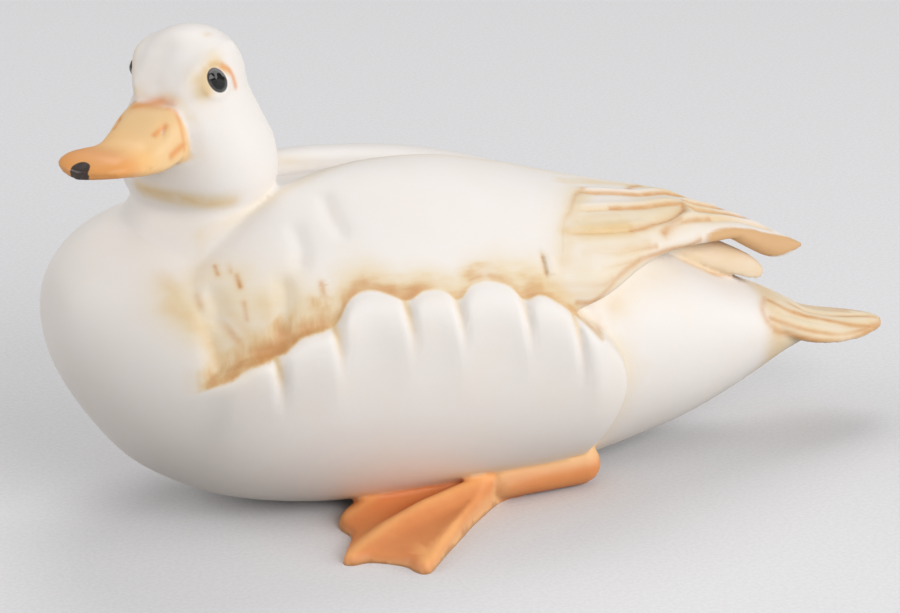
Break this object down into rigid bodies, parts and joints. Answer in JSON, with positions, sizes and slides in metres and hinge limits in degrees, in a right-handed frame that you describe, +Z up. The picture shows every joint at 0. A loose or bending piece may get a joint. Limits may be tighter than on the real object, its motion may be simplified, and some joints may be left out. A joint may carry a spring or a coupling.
{
  "type": "duck figurine",
  "caption": "Resting duck figurine in matt white porcelain, head turned to its left, folded wings, carved flank feathers, flat webbed feet and a narrow tail.",
  "frame": {"origin": "on the flat of the belly, on the surface that the duck rests on", "axes": "+X towards the tail, +Z up, so the duck's own left side is at -Y and its body looks along -X"},
  "size_m": [0.2451, 0.1285, 0.1328],
  "materials": {
    "bisque": "unglazed, matt"
  },
  "bodies": {
    "root": {"duck": "bisque"}
  },
  "joints": []
}
